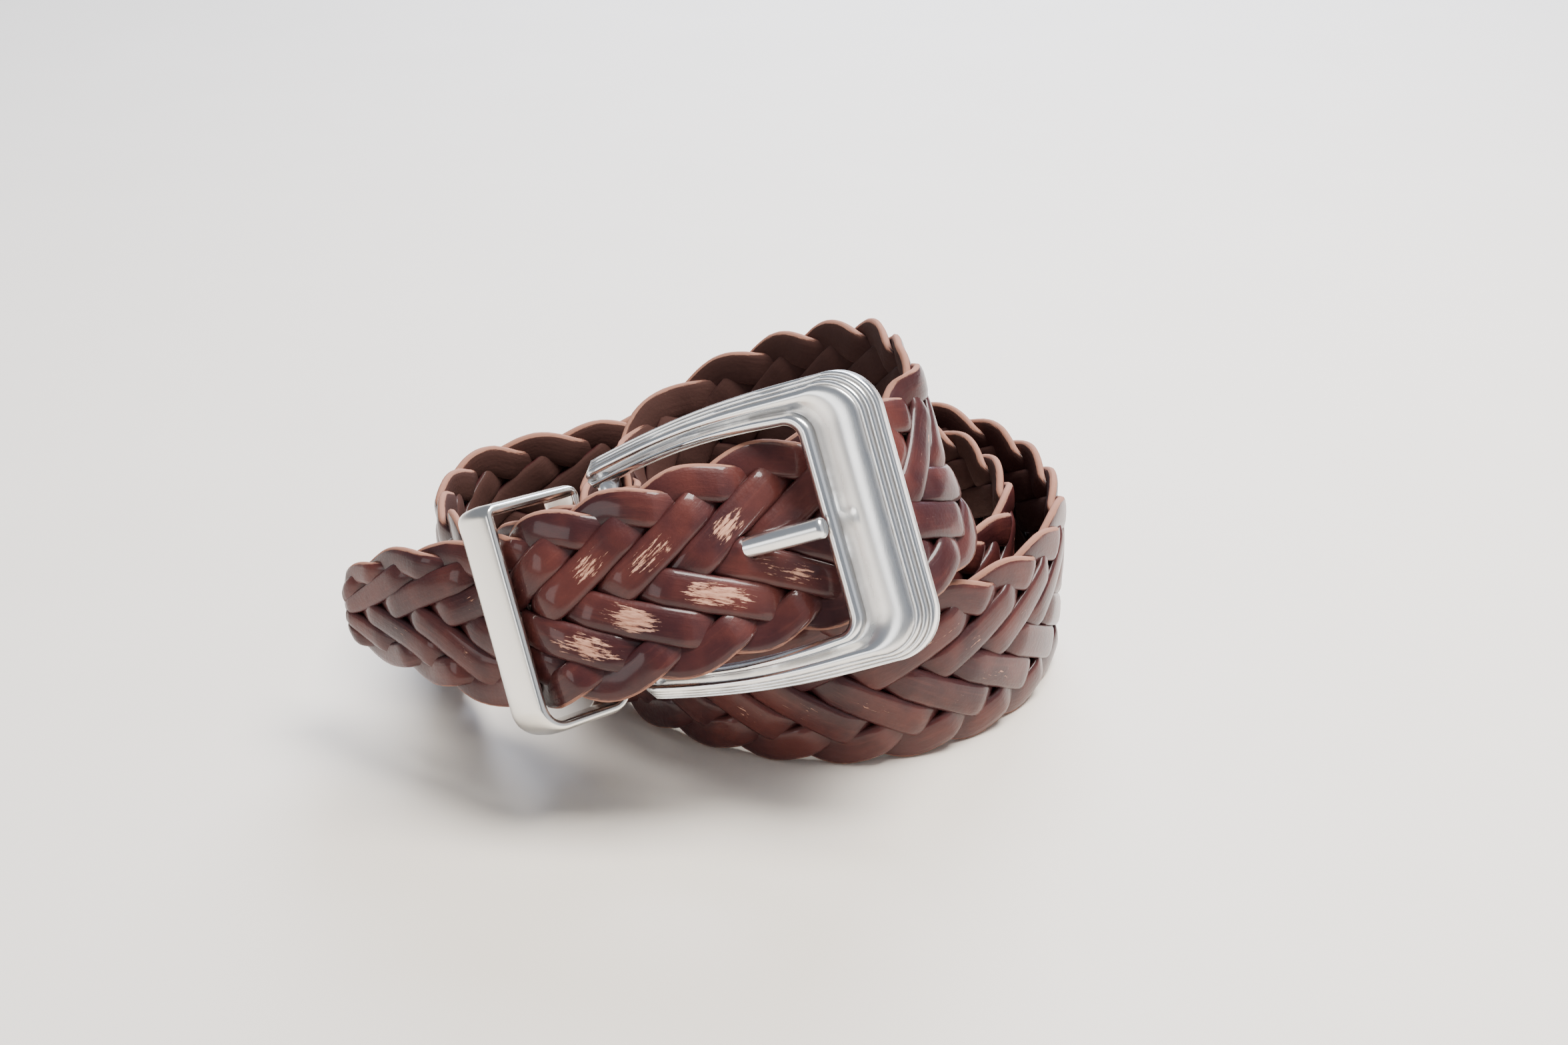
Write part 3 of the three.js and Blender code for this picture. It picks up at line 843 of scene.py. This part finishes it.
        def end_scale(step: int) -> float:
            share = min((table[step][0] + sizes.length) / self.END_ROUND, 1.0)
            rounding = math.sqrt(max(0.0, 1 - (1 - share) ** 2))
            return lerp(self.END_THICKNESS, 1, rounding)

        def place(along: float, turn: float) -> Vector:
            step = round(along * steps)
            ox, oy, dx, dy, width, rows = table[step]
            across, height, _ = rows[round(turn * sides) % sides]
            scale = end_scale(step)
            across = width / 2 + (across - width / 2) * scale
            return self.spot(ox + dx * across, oy + dy * across, height * scale)

        def marks(along: float, turn: float) -> tuple[float, float, float, float]:
            step = round(along * steps)
            # The second number is the painted shade of the grooves.
            return (0.0, table[step][5][round(turn * sides) % sides][2], 0.0, 1.0)

        cast = rolled_tube("buckle_cast_frame", steps, sides, place, marks, sharp=48)
        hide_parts("buckle_frame")
        half = near + sizes.near_arm / 2

        def bar_place(along: float, turn: float) -> Vector:
            angle = 2 * math.pi * turn
            x = self.place.hinge_x + sizes.hinge_radius * math.cos(angle)
            z = sizes.hinge_radius * math.sin(angle)
            return self.spot(x, lerp(-half, half, along), z)

        bar = rolled_tube("buckle_hinge_bar", 12, 32, bar_place)
        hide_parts("buckle_frame")
        return [cast, bar]


class Prong(BucklePart):
    """The round prong: a rod with a rounded end and an eye round the hinge bar."""

    END_ROUND = 0.00055
    END_SCALE = 0.72
    FLAT_UNDERSIDE = 0.9

    def build(self) -> list[bpy.types.Object]:
        """Makes the rod and its eye.

        Returns:
            The two pieces.
        """
        place, sizes = self.place, self.sizes
        line = place.prong_line()
        steps, sides = 48, 32

        def middle(share: float) -> Vector:
            spot = min(share, 1.0) * (len(line) - 1)
            index = min(int(spot), len(line) - 2)
            t = spot - index
            p0, p1, p2, p3 = (line[min(max(index + k, 0), len(line) - 1)] for k in (-1, 0, 1, 2))
            square, cube = 2 * p0 - 5 * p1 + 4 * p2 - p3, 3 * p1 - p0 - 3 * p2 + p3
            return 0.5 * (2 * p1 + (p2 - p0) * t + square * t * t + cube * t**3)

        total = abs(line[-1].x - line[0].x)

        def rod(along: float, turn: float) -> Vector:
            from_end = min((1 - along) * total / self.END_ROUND, 1.0)
            scale = lerp(self.END_SCALE, 1, math.sqrt(max(0.0, 1 - (1 - from_end) ** 2)))
            centre = middle(along)
            ahead = (middle(min(1.0, along + 0.02)) - middle(max(0.0, along - 0.02))).normalized()
            side = Vector((0, 1, 0))
            up = ahead.cross(side).normalized()
            angle = 2 * math.pi * turn
            flat = self.FLAT_UNDERSIDE if math.sin(angle) < 0 else 1.0
            reach = sizes.prong_radius * scale
            out = side * (math.cos(angle) * reach) - up * (math.sin(angle) * reach * flat)
            return self.spot(*(centre + out))

        shaft = rolled_tube("prong_rod", steps, sides, rod, sharp=50)

        def eye(along: float, turn: float) -> Vector:
            angle = 2 * math.pi * along
            across, out = superellipse(turn, sizes.prong_radius, sizes.prong_radius / 2, 3.5)
            radius = place.eye_radius - sizes.prong_radius / 2 + out
            x = place.hinge_x + radius * math.cos(angle)
            return self.spot(x, across, radius * math.sin(angle))

        loop = rolled_tube("prong_eye", 48, 20, eye, ring=True)
        for piece in (shaft, loop):
            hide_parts("buckle_prong")
        return [shaft, loop]


class KeeperLoop(BucklePart):
    """The bent metal loop: a domed band, crisp at its top corners and round at its bottom ones."""

    CORNER_STEPS = 12
    SIDE_STEPS = 12

    def _outline(self) -> list[tuple[Vector, Vector]]:
        """Returns points of the band's middle line, each with its outward direction."""
        place, sizes = self.place, self.sizes
        metal = sizes.keeper_metal / 2
        left, right = -place.keeper_back - metal, place.keeper_front + metal
        top = place.strap.width / 2 + sizes.keeper_play + metal
        crisp, round_ = sizes.keeper_crisp, sizes.keeper_round - metal
        corners = (
            (right - crisp, top - crisp, crisp, 0.0),
            (left + crisp, top - crisp, crisp, 0.5),
            (left + round_, -top + round_, round_, 1.0),
            (right - round_, -top + round_, round_, 1.5),
        )
        found: list[tuple[Vector, Vector]] = []
        for x, y, radius, start in corners:
            for step in range(self.CORNER_STEPS + 1):
                angle = math.pi * (start + 0.5 * step / self.CORNER_STEPS)
                out = Vector((math.cos(angle), math.sin(angle)))
                found.append((Vector((x, y)) + out * radius, out))
        dense: list[tuple[Vector, Vector]] = []
        for index, (point, out) in enumerate(found):
            dense.append((point, out))
            after, after_out = found[(index + 1) % len(found)]
            if (after - point).length > 2 * crisp:
                for step in range(1, self.SIDE_STEPS):
                    share = step / self.SIDE_STEPS
                    dense.append((point.lerp(after, share), out.lerp(after_out, share)))
        return dense

    def build(self) -> list[bpy.types.Object]:
        """Makes the keeper.

        Returns:
            The one piece.
        """
        place, sizes = self.place, self.sizes
        line = self._outline()
        steps, sides = len(line), 28

        def band(along: float, turn: float) -> Vector:
            point, out = line[round(along * steps) % steps]
            across, thick = superellipse(turn, sizes.keeper_width / 2, sizes.keeper_metal / 2, 5.5)
            share = across / (sizes.keeper_width / 2)
            dome = sizes.keeper_dome * (1 - share * share) if thick > 0 else 0.0
            outline = point + out * (thick + dome)
            local = place.keeper_swing @ Vector((across, outline.y, outline.x))
            x, z = place.keeper_x + local.x, place.tail_over + local.z
            return self.spot(x, local.y - sizes.keeper_drop, z)

        piece = rolled_tube("keeper_band", steps, sides, band, ring=True, sharp=50)
        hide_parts("keeper")
        return [piece]


class NodeBench:
    """Adds and joins nodes in one tree."""

    def __init__(self, tree: bpy.types.NodeTree) -> None:
        """Keeps the tree."""
        self.tree = tree

    def node(self, kind: str, **settings: object) -> bpy.types.Node:
        """Adds a node of one type and sets its properties."""
        made = self.tree.nodes.new(kind)
        for name, value in settings.items():
            setattr(made, name, value)
        return made

    def feed(self, socket: Socket, value: object) -> None:
        """Joins a socket to another, or sets its value."""
        if isinstance(value, Socket):
            self.tree.links.new(value, socket)
        else:
            socket.default_value = value

    def result(self, kind: str, output: int, inputs: dict[int | str, object], **settings: object) -> Socket:
        """Adds a node and feeds it.

        Args:
            kind: The node's type.
            output: Which output to return.
            inputs: Values or sockets for its inputs.
            **settings: Its properties.

        Returns:
            The output.
        """
        made = self.node(kind, **settings)
        for name, value in inputs.items():
            self.feed(made.inputs[name], value)
        return made.outputs[output]

    def effect(self, group: bpy.types.NodeTree, **inputs: object) -> Sequence[Socket]:
        """Adds an effect group, feeds it and returns its outputs."""
        made = self.node("ShaderNodeGroup", node_tree=group)
        for name, value in inputs.items():
            self.feed(made.inputs[name], value)
        return made.outputs

    def math(self, operation: str, first: object, second: object, clamp: bool = False) -> Socket:
        """Returns the result of a Math node."""
        return self.result("ShaderNodeMath", 0, {0: first, 1: second}, operation=operation, use_clamp=clamp)

    def weigh(self, *parts: tuple[Socket, float]) -> Socket:
        """Returns the sum of some numbers, each times its weight."""
        total = self.math("MULTIPLY", *parts[0])
        for part in parts[1:]:
            total = self.math("ADD", total, self.math("MULTIPLY", *part))
        return total

    def rise(self, value: Socket, low: float, high: float) -> Socket:
        """Returns a smooth rise from 0 at low to 1 at high."""
        inputs = {"Value": value, "From Min": low, "From Max": high}
        return self.result("ShaderNodeMapRange", 0, inputs, interpolation_type="SMOOTHSTEP")

    def noise(self, vector: Socket, scale: float, detail: float = 3.0, rough: float = 0.6) -> Socket:
        """Returns the factor of a Noise Texture."""
        inputs = {"Vector": vector, "Scale": scale, "Detail": detail, "Roughness": rough}
        return self.result("ShaderNodeTexNoise", 0, inputs)

    def blend(self, factor: Socket, first: Socket | Colour, second: Socket | Colour) -> Socket:
        """Returns a mix of two colours; 6, 7 and the output 2 are the Mix node's colour sockets."""
        one, two = ((*colour, 1) if isinstance(colour, tuple) else colour for colour in (first, second))
        return self.result("ShaderNodeMix", 2, {0: factor, 6: one, 7: two}, data_type="RGBA")

    def stretch(self, vector: Socket, scale: Sequence[float]) -> Socket:
        """Returns a vector with each coordinate scaled."""
        return self.result("ShaderNodeMapping", 0, {"Vector": vector, "Scale": scale})

    def bump(self, height: Socket, strength: float, distance: float) -> Socket:
        """Returns the normal of a Bump node."""
        inputs = {"Height": height, "Strength": strength, "Distance": distance}
        return self.result("ShaderNodeBump", 0, inputs)

    def place(self) -> Socket:
        """Returns the Object coordinates."""
        return self.node("ShaderNodeTexCoord").outputs["Object"]

    def marks(self) -> list[Socket]:
        """Returns the four numbers of the attribute belt_marks."""
        kept = self.node("ShaderNodeAttribute", attribute_name="belt_marks")
        split = self.node("ShaderNodeSeparateColor")
        self.feed(split.inputs[0], kept.outputs["Color"])
        return [*split.outputs, kept.outputs["Alpha"]]


def effect_group(
    name: str, inputs: dict[str, str], outputs: Sequence[str]
) -> tuple[NodeBench, Sequence[Socket], Sequence[Socket]]:
    """Makes an empty shader node group.

    Args:
        name: The group's name.
        inputs: Socket types of its inputs, by name.
        outputs: Names of its outputs, which are numbers.

    Returns:
        Its bench, the sockets that bring its inputs and the sockets that take its outputs.
    """
    bench = NodeBench(bpy.data.node_groups.new(name, "ShaderNodeTree"))
    for title, kind in inputs.items():
        bench.tree.interface.new_socket(name=title, in_out="INPUT", socket_type=kind)
    for title in outputs:
        bench.tree.interface.new_socket(name=title, in_out="OUTPUT", socket_type="NodeSocketFloat")
    return bench, bench.node("NodeGroupInput").outputs, bench.node("NodeGroupOutput").inputs


def fine_grain_group() -> bpy.types.NodeTree:
    """Makes the fine grain that leather and floor share: a height and a slow change of tone."""
    sockets = {"Vector": "NodeSocketVector", "Size": "NodeSocketFloat"}
    bench, start, end = effect_group("fine_grain", sockets, ("Height", "Tone"))
    inputs = {0: start["Vector"], "Scale": start["Size"]}
    scaled = bench.result("ShaderNodeVectorMath", 0, inputs, operation="SCALE")
    pores = bench.result("ShaderNodeTexVoronoi", 0, {"Vector": scaled, "Scale": 1.0})
    wrinkles = bench.noise(scaled, 0.7, 4.0)
    bench.feed(end["Height"], bench.weigh((pores, 0.4), (wrinkles, 1.0)))
    bench.feed(end["Tone"], bench.noise(scaled, 0.045))
    return bench.tree


def metal_scratches_and_shade_group() -> bpy.types.NodeTree:
    """Makes the scratches and shade that the metal pieces share: cloudy polish, fine scratches, specks and
    dull grooves darkened by painted shade.
    """
    sockets = {"Vector": "NodeSocketVector", "Groove": "NodeSocketFloat"}
    bench, start, end = effect_group("metal_scratches_and_shade", sockets, ("Height", "Polish", "GrooveShadeAndSpecks"))
    vector = start["Vector"]
    clouds = bench.noise(vector, 160.0)
    fine = bench.noise(vector, 900.0)
    scratch = bench.noise(bench.stretch(vector, (5000.0, 260.0, 900.0)), 1.0, 2.0, 0.5)
    bench.feed(end["Height"], bench.weigh((scratch, 0.25), (fine, 0.4)))
    bench.feed(end["Polish"], bench.weigh((clouds, 0.7), (scratch, 0.3)))
    # Painted shade in the grooves, in cloudy patches.
    groove_shade = bench.math("MULTIPLY", start["Groove"], bench.rise(clouds, 0.25, 0.6))
    specks = bench.math("MULTIPLY", bench.rise(fine, 0.6, 0.8), 0.12)
    bench.feed(end["GrooveShadeAndSpecks"], bench.math("ADD", groove_shade, specks, True))
    return bench.tree


class Finish:
    """A material with one Principled shader. Each kind states its name and its look."""

    name: str

    def make(self, effect: bpy.types.NodeTree) -> bpy.types.Material:
        """Makes the material.

        Args:
            effect: The effect group that its look uses.

        Returns:
            The material.
        """
        material = bpy.data.materials.new(self.name)
        material.use_nodes = True
        material.node_tree.nodes.clear()
        bench = NodeBench(material.node_tree)
        shader = bench.node("ShaderNodeBsdfPrincipled")
        bench.feed(bench.node("ShaderNodeOutputMaterial").inputs["Surface"], shader.outputs[0])
        for name, value in self.look(bench, effect).items():
            bench.feed(shader.inputs[name], value)
        return material


@dataclass(frozen=True)
class LeatherFinish(Finish):
    """The glossy red-brown strand leather, with tan scuffs, bare cut edges, a flesh side and painted shade in
    the creases.
    """

    name: str = "braid_leather"
    grain_colour: Colour = (0.106, 0.027, 0.0215)
    dark_colour: Colour = (0.040, 0.0105, 0.012)
    line_colour: Colour = (0.145, 0.042, 0.031)
    scuff_colour: Colour = (0.68, 0.36, 0.25)
    scuff_shade: Colour = (0.40, 0.18, 0.12)
    edge_colour: Colour = (0.34, 0.165, 0.115)
    flesh_colour: Colour = (0.060, 0.026, 0.021)
    strap_length: float = 0.9136
    strand_round: float = 0.017
    # Length and width of the short streaks and of the longer lines that run with a strand.
    streak: tuple[float, float] = (0.0028, 0.00036)
    line: tuple[float, float] = (0.009, 0.0009)
    grain_scale: float = 1500.0
    patch_scale: float = 150.0
    flesh_reach: tuple[float, float] = (0.3, 0.5)
    scuff_reach: tuple[float, float] = (0.86, 0.92)
    edge_reach: tuple[float, float] = (1.0, 1.25)
    roughness: float = 0.36
    gloss: float = 0.52
    gloss_roughness: float = 0.11
    refraction: float = 1.45
    specular: float = 0.2
    relief: float = 0.00025

    def _with_strand(self, bench: NodeBench, size: tuple[float, float]) -> Socket:
        """Returns the strand's own chart in steps of a mark's length and width."""
        chart = bench.node("ShaderNodeUVMap", uv_map="along_round").outputs[0]
        return bench.stretch(chart, (self.strap_length / size[0], self.strand_round / size[1], 1))

    def look(self, bench: NodeBench, grain: bpy.types.NodeTree) -> dict[str, object]:
        """Returns what feeds the shader, with the fine grain group in use."""
        worn, crease_shade, bare, face = bench.marks()
        place = bench.place()
        skin = bench.effect(grain, Vector=place, Size=self.grain_scale)
        tone = skin["Tone"]
        streaks = bench.noise(self._with_strand(bench, self.streak), 1.0, 5.0, 0.68)
        lines = bench.noise(self._with_strand(bench, self.line), 1.0)
        patches = bench.noise(place, self.patch_scale)
        flesh = bench.math("SUBTRACT", 1.0, bench.rise(face, *self.flesh_reach))
        scuff = bench.rise(bench.weigh((streaks, 0.85), (patches, 0.36), (worn, 0.41)), *self.scuff_reach)
        edge = bench.rise(bench.weigh((bare, 1.0), (streaks, 1.3)), *self.edge_reach)

        colour = bench.blend(bench.rise(tone, 0.35, 0.68), self.dark_colour, self.grain_colour)
        fade = bench.math("MULTIPLY", bench.rise(lines, 0.5, 0.8), 0.4)
        colour = bench.blend(fade, colour, self.line_colour)
        # Painted shade: the dark colour where a strand runs under the others and along its edges.
        colour = bench.blend(bench.math("MULTIPLY", crease_shade, 0.8), colour, self.dark_colour)
        colour = bench.blend(flesh, colour, self.flesh_colour)
        tan = bench.blend(bench.rise(streaks, 0.4, 0.62), self.scuff_shade, self.scuff_colour)
        colour = bench.blend(scuff, colour, tan)

        dull = bench.math("MAXIMUM", bench.math("MAXIMUM", scuff, edge), flesh)
        rough = bench.weigh((tone, 0.12), (dull, 0.42))
        shine = bench.math("SUBTRACT", 1.0, dull, True)
        height = bench.weigh((skin["Height"], 0.35), (lines, 0.5), (streaks, 0.3), (scuff, -0.35))
        return {
            "Base Color": bench.blend(edge, colour, self.edge_colour),
            "Roughness": bench.math("ADD", rough, self.roughness, True),
            "Coat Weight": bench.math("MULTIPLY", shine, self.gloss),
            "Normal": bench.bump(height, 0.7, self.relief),
            "Coat Roughness": self.gloss_roughness,
            "Coat IOR": self.refraction,
            "IOR": self.refraction,
            "Specular IOR Level": self.specular,
        }


@dataclass(frozen=True)
class MetalFinish(Finish):
    """Polished cast metal, softly worn, with specks and with duller grooves darkened by painted shade."""

    name: str
    colour: Colour
    groove_shade_and_speck_colour: Colour
    roughness: float

    def look(self, bench: NodeBench, wear_and_shade: bpy.types.NodeTree) -> dict[str, object]:
        """Returns what feeds the shader, with the metal scratches and shade group in use."""
        worn = bench.effect(wear_and_shade, Vector=bench.place(), Groove=bench.marks()[1])
        groove_shade_and_specks = worn["GrooveShadeAndSpecks"]
        rough = bench.weigh((worn["Polish"], 0.16), (groove_shade_and_specks, 0.25))
        return {
            # Painted shade: the second colour darkens the grooves; the specks are the metal's own marks.
            "Base Color": bench.blend(groove_shade_and_specks, self.colour, self.groove_shade_and_speck_colour),
            "Roughness": bench.math("ADD", rough, self.roughness, True),
            "Normal": bench.bump(worn["Height"], 0.16, 0.0001),
            "Metallic": 1.0,
        }


@dataclass(frozen=True)
class TableFinish(Finish):
    """The plain pale floor."""

    name: str = "pale_floor"
    grain_scale: float = 400.0
    light: Colour = (0.90, 0.83, 0.74)
    shade: Colour = (0.85, 0.78, 0.69)

    def look(self, bench: NodeBench, grain: bpy.types.NodeTree) -> dict[str, object]:
        """Returns what feeds the shader, with the fine grain group in use."""
        tone = bench.effect(grain, Vector=bench.place(), Size=self.grain_scale)["Tone"]
        return {"Base Color": bench.blend(tone, self.shade, self.light), "Roughness": 0.7}


@dataclass(frozen=True)
class Lamp:
    """One soft studio light."""

    name: str
    place: tuple[float, float, float]
    size: float
    watts: float
    colour: Colour


class Studio:
    """The floor, the soft lights and the camera at the photograph's angle."""

    LAMPS = (
        Lamp("key_light", (0.3, 0.0, 0.85), 0.45, 20.0, (1.0, 0.97, 0.93)),
        Lamp("back_light", (0.15, 0.85, 0.6), 0.55, 18.0, (0.70, 0.80, 1.0)),
        Lamp("front_card", (-0.8, -0.85, 0.3), 0.42, 1.6, (1.0, 0.99, 0.98)),
        Lamp("fill_light", (0.75, -0.45, 0.35), 0.9, 1.2, (0.92, 0.94, 1.0)),
    )

    TARGET = Vector((0, 0, 0.03))
    SKY_COLOUR = (0.80, 0.87, 1.0, 1)
    SKY_STRENGTH = 0.32
    CAMERA_PLACE = (0.01364, -0.37949, 0.225)
    CAMERA_DOWN = 27.0
    LENS, SENSOR = 50, 36
    FLOOR_HALF = 3.0

    def build(self, floor_finish: bpy.types.Material) -> None:
        """Makes the set.

        Args:
            floor_finish: The floor's material.
        """
        sheet = bmesh.new()
        bmesh.ops.create_grid(sheet, x_segments=2, y_segments=2, size=self.FLOOR_HALF)
        mesh = bpy.data.meshes.new("floor")
        sheet.to_mesh(mesh)
        sheet.free()
        floor = bpy.data.objects.new("floor", mesh)
        bpy.context.scene.collection.objects.link(floor)
        mesh.materials.append(floor_finish)
        for lamp in self.LAMPS:
            light = bpy.data.lights.new(lamp.name, "AREA")
            light.size, light.energy, light.color = lamp.size, lamp.watts, lamp.colour
            holder = bpy.data.objects.new(lamp.name, light)
            holder.location = lamp.place
            aim = self.TARGET - holder.location
            holder.rotation_euler = aim.to_track_quat("-Z", "Y").to_euler()
            bpy.context.scene.collection.objects.link(holder)
        world = bpy.data.worlds.new("studio")
        world.use_nodes = True
        sky = world.node_tree.nodes["Background"]
        sky.inputs["Color"].default_value = self.SKY_COLOUR
        sky.inputs["Strength"].default_value = self.SKY_STRENGTH
        bpy.context.scene.world = world
        camera = bpy.data.cameras.new("camera")
        camera.lens, camera.sensor_width = self.LENS, self.SENSOR
        camera.clip_start = 0.01
        holder = bpy.data.objects.new("camera", camera)
        holder.location = self.CAMERA_PLACE
        holder.rotation_euler = (math.radians(90 - self.CAMERA_DOWN), 0, 0)
        bpy.context.scene.collection.objects.link(holder)
        bpy.context.scene.camera = holder


def report(pieces: Sequence[bpy.types.Object], finish: bpy.types.Material) -> None:
    """Gives pieces their finish and reports each through the log.

    Args:
        pieces: The pieces of one sub-assembly.
        finish: Their material.
    """
    for piece in pieces:
        piece.data.materials.clear()
        piece.data.materials.append(finish)
        LOG.info("%s: %d faces", piece.name, len(piece.data.polygons))


def main() -> None:
    """Builds the studio and each sub-assembly in order."""
    logging.basicConfig(level=logging.INFO, format="%(name)s %(message)s")
    grain, wear_and_shade = fine_grain_group(), metal_scratches_and_shade_group()
    Studio().build(TableFinish().make(grain))
    strap = StrapSizes()
    place = BucklePlace(BuckleSizes(), strap)
    route = StrapRoute(strap, place)
    LOG.info("strap length %.4f, pitch %.5f", route.length, route.pitch)
    # The second colour of each metal is painted shade for its grooves and the colour of its specks.
    silver = MetalFinish("buckle_silver", (0.94, 0.935, 0.92), (0.52, 0.50, 0.48), 0.15).make(wear_and_shade)
    pale = MetalFinish("keeper_silver", (0.84, 0.815, 0.76), (0.36, 0.33, 0.30), 0.14).make(wear_and_shade)
    report(BraidedStrap(BraidSizes(), route).build(), LeatherFinish().make(grain))
    report(CastFrame(place, strap.origin).build(), silver)
    report(Prong(place, strap.origin).build(), silver)
    report(KeeperLoop(place, strap.origin).build(), pale)


if __name__ == "__main__":
    main()
